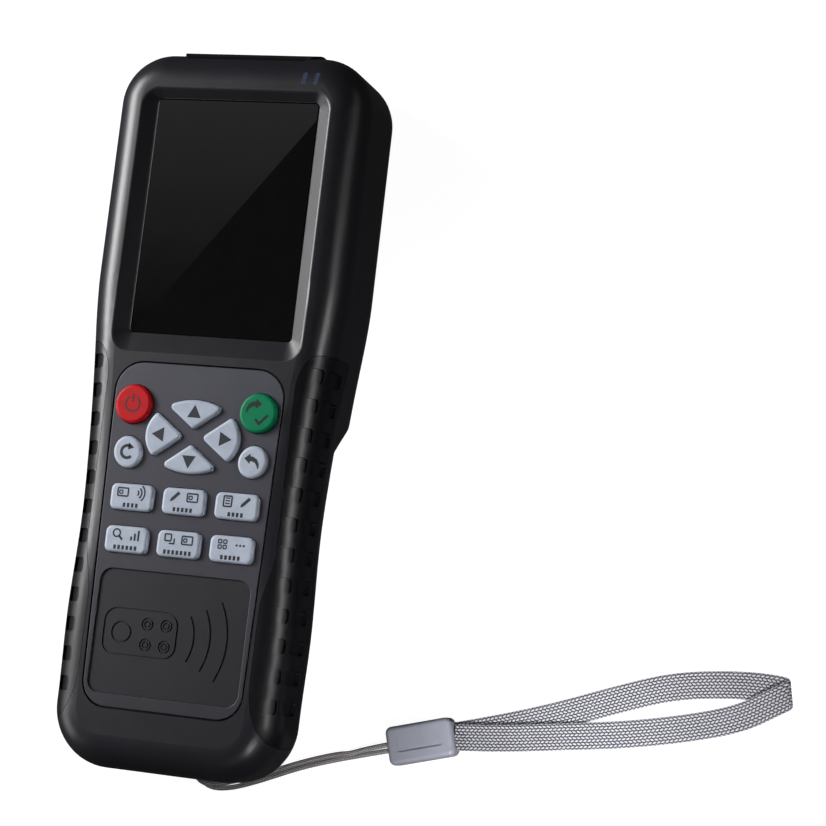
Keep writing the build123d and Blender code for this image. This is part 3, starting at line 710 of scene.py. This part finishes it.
def draw_sheet(sign, x, y):
    """A page with three rules on it."""
    sign.box(x, y, 1.9, 2.3, LINE)
    for k in (-0.5, 0.1, 0.7):
        sign.stroke([(x - 0.55, y + k), (x + 0.55, y + k)], LINE * 0.8)


def draw_glass(sign, x, y):
    """A magnifying glass."""
    sign.ring(x - 0.25, y + 0.3, 0.85, LINE)
    sign.stroke([(x + 0.4, y - 0.35), (x + 1.2, y - 1.15)], LINE * 1.4)


def draw_dots(sign, x, y):
    """Three dots in a row."""
    radius, sides = 0.27, 12
    turns = [2 * math.pi * i / sides for i in range(sides)]
    for k in (-0.85, 0, 0.85):
        sign.polygon([(x + k + radius * math.cos(a), y + radius * math.sin(a)) for a in turns])


def draw_pair(sign, x, y):
    """One square in front of another."""
    sign.box(x - 0.4, y + 0.35, 1.5, 1.5, LINE)
    sign.stroke([(x - 0.1, y - 0.95), (x + 1.1, y - 0.95), (x + 1.1, y + 0.25)], LINE)


def draw_grid(sign, x, y):
    """Four small squares."""
    for i in (-0.6, 0.6):
        for j in (-0.6, 0.6):
            sign.box(x + i, y + j, 0.75, 0.75, LINE * 0.8)


def draw_bars(sign, x, y):
    """Three bars that rise from left to right."""
    foot = y - 1.15
    for k, high in enumerate((0.9, 1.6, 2.3)):
        across = x + 0.85 * (k - 1)
        sign.stroke([(across, foot), (across, foot + high)], LINE * 1.3)


PICTURES = {  # the two small pictures over the dashes, and how many dashes there are
    "key_function_1": (draw_tag, draw_waves, 4),
    "key_function_2": (draw_pen, draw_tag, 5),
    "key_function_3": (draw_sheet, draw_pen, 4),
    "key_function_4": (draw_glass, draw_bars, 6),
    "key_function_5": (draw_pair, draw_tag, 7),
    "key_function_6": (draw_grid, draw_dots, 5),
}


def function_legend(first, second, dashes):
    """Two small pictures side by side over a row of dashes."""
    sign = Drawing()
    apart, up = 2.1, 1.0
    first(sign, -apart, up)
    second(sign, apart, up)
    pitch, dash, dash_high, row_y = 1.0, 0.62, 0.95, -1.85
    for k in range(dashes):
        x = (k - (dashes - 1) / 2) * pitch
        sign.stroke([(x - dash / 2, row_y), (x + dash / 2, row_y)], dash_high)
    sign.vertices = [(x * PICTURE_SIZE, y * PICTURE_SIZE, z) for x, y, z in sign.vertices]
    return sign


def make_legends():
    """The signs on the keys. Each triangle on the four arrow keys is moved a little towards its key's outer
    end.
    """
    power_sign().place("legend_power", "key_power", middle_of("key_power"), RED_INK)
    confirm_sign().place("legend_ok", "key_ok", middle_of("key_ok"), GREEN_INK)
    turned_ring().place("legend_clear", "key_clear", middle_of("key_clear"), DARK_INK)
    swept_arrow(-1).place("legend_return", "key_return", middle_of("key_return"), DARK_INK)
    for key, turn, shift in (("key_up", 0, (0, 0.3)), ("key_left", 90, (-0.9, 0)),
                             ("key_down", 180, (0, -0.3)), ("key_right", 270, (0.9, 0))):
        middle = middle_of(key) + Vector((*shift, 0)) * MM
        triangle().place("legend_" + key[4:], key, middle, DARK_INK, turn)
    for key, (first, second, dashes) in PICTURES.items():
        legend = function_legend(first, second, dashes)
        legend.place("legend_" + key[4:], key, middle_of(key), DARK_INK)


make_legends()


# ---- studio ----------------------------------------------------------------------------
TARGET = Vector((0.0, 0.0, 0.02))
GRIP_MIDDLE = Vector((0.034, -0.045, 0.02))
STRAP_MIDDLE = Vector((0.112, -0.074, 0.0))


def emission(name, gradient=None):
    """A white glow, of strength 1 or rising towards one end where a gradient (low, high) is given."""
    material = bpy.data.materials.new(name)
    material.use_nodes = True
    nodes, links = material.node_tree.nodes, material.node_tree.links
    nodes.clear()
    glow = nodes.new("ShaderNodeEmission")
    glow.inputs["Color"].default_value = (1, 1, 1, 1)
    glow.inputs["Strength"].default_value = 1.0
    links.new(glow.outputs[0], nodes.new("ShaderNodeOutputMaterial").inputs["Surface"])
    if gradient:
        place = nodes.new("ShaderNodeTexCoord")
        split = nodes.new("ShaderNodeSeparateXYZ")
        reach = nodes.new("ShaderNodeMapRange")
        links.new(place.outputs["Generated"], split.inputs[0])
        links.new(split.outputs["Y"], reach.inputs["Value"])
        reach.inputs["From Min"].default_value = 0.14  # dark up to here
        reach.inputs["To Min"].default_value, reach.inputs["To Max"].default_value = gradient
        links.new(reach.outputs[0], glow.inputs["Strength"])
    return material


def aimed(lamp, place, target):
    """Puts a lamp at a place, facing a target, out of the camera's sight."""
    SCENE.collection.objects.link(lamp)
    lamp.location = place
    lamp.rotation_euler = (target - Vector(place)).to_track_quat("-Z", "Y").to_euler()
    lamp.visible_camera = False
    return lamp


def softbox(name, place, wide, high, radiance, target=TARGET):
    """A rectangular light of a given brightness per area."""
    light = bpy.data.lights.new(name, "AREA")
    light.shape = "RECTANGLE"
    light.size, light.size_y = wide, high
    light.energy = radiance * math.pi * wide * high
    return aimed(bpy.data.objects.new(name, light), place, target)


def strap_light():
    """A narrow spot on the strap and clip, which lie in the scanner's own shadow."""
    light = bpy.data.lights.new("strap_light", "SPOT")
    light.energy = 36
    light.spot_size = math.radians(11.5)
    light.spot_blend = 0.35
    light.shadow_soft_size = 0.05
    aimed(bpy.data.objects.new("strap_light", light), (0.35, -0.42, 0.50), STRAP_MIDDLE)


def glass_card():
    """A dim card whose slanting edge shows as the diagonal in the screen glass."""
    height = 1.0
    edge_a, edge_b = Vector((-0.350, 0.343, height)), Vector((-0.467, 0.189, height))
    along = (edge_a - edge_b).normalized()
    away = Vector((-along.y, along.x, 0))
    start, end = edge_b - along * 0.10, edge_a + along * 0.06
    corners = [start, end, end + away * 0.3, start + away * 0.3]
    glow = emission("card_glow", (0.0, 0.85))
    card = new_object("glass_card", corners, [(0, 3, 2, 1)], glow, False)
    card.visible_camera = False
    card.visible_shadow = False


def pale_floor():
    """Mostly self-lit white, so that the shadow on it stays faint."""
    material = bpy.data.materials.new("pale_floor")
    material.use_nodes = True
    shader = material.node_tree.nodes["Principled BSDF"]
    shader.inputs["Base Color"].default_value = (0.2, 0.2, 0.2, 1)
    shader.inputs["Roughness"].default_value = 1.0
    shader.inputs["Specular IOR Level"].default_value = 0.0
    shader.inputs["Emission Color"].default_value = (1, 1, 1, 1)
    shader.inputs["Emission Strength"].default_value = 0.965
    return material


FLOOR_HALF, FLOOR_Z = 8, -0.0003  # in metres, just under the object


def make_studio():
    """Lights, the reflected card, a pale floor and a white backdrop."""
    world = bpy.data.worlds.new("studio")
    SCENE.world = world
    world.use_nodes = True
    world.node_tree.nodes["Background"].inputs["Color"].default_value = (1, 1, 1, 1)
    world.node_tree.nodes["Background"].inputs["Strength"].default_value = 0.03

    softbox("left_softbox", (-0.72, 0.25, 0.44), 0.52, 0.30, 18.0)
    softbox("left_high", (-0.62, 0.12, 0.75), 0.46, 0.35, 2.1)
    softbox("left_low", (-0.74, -0.25, 0.28), 0.45, 0.40, 2.5)
    softbox("right_strip", (0.75, 0.20, 0.26), 0.9, 0.16, 0.7)
    grip_light = softbox("grip_light", (0.72, -0.01, 0.45), 0.22, 0.20, 0.24, GRIP_MIDDLE)
    grip_light.data.spread = math.radians(18)
    softbox("front_fill", (0.15, -0.9, 0.75), 0.6, 0.3, 0.3)
    strap_light()
    glass_card()

    signs = ((-1, -1), (1, -1), (1, 1), (-1, 1))
    corners = [(x * FLOOR_HALF, y * FLOOR_HALF, FLOOR_Z) for x, y in signs]
    floor = new_object("floor", corners, [(0, 1, 2, 3)], pale_floor(), False)
    floor.visible_glossy = False
    floor.visible_diffuse = False

    bpy.ops.mesh.primitive_uv_sphere_add(segments=48, ring_count=24, radius=14)
    backdrop = bpy.context.object
    backdrop.name = "backdrop"
    backdrop.data.materials.append(emission("backdrop_glow"))
    for ray in ("visible_glossy", "visible_diffuse", "visible_shadow", "visible_transmission"):
        setattr(backdrop, ray, False)


make_studio()
SCENE.view_settings.view_transform = "Standard"
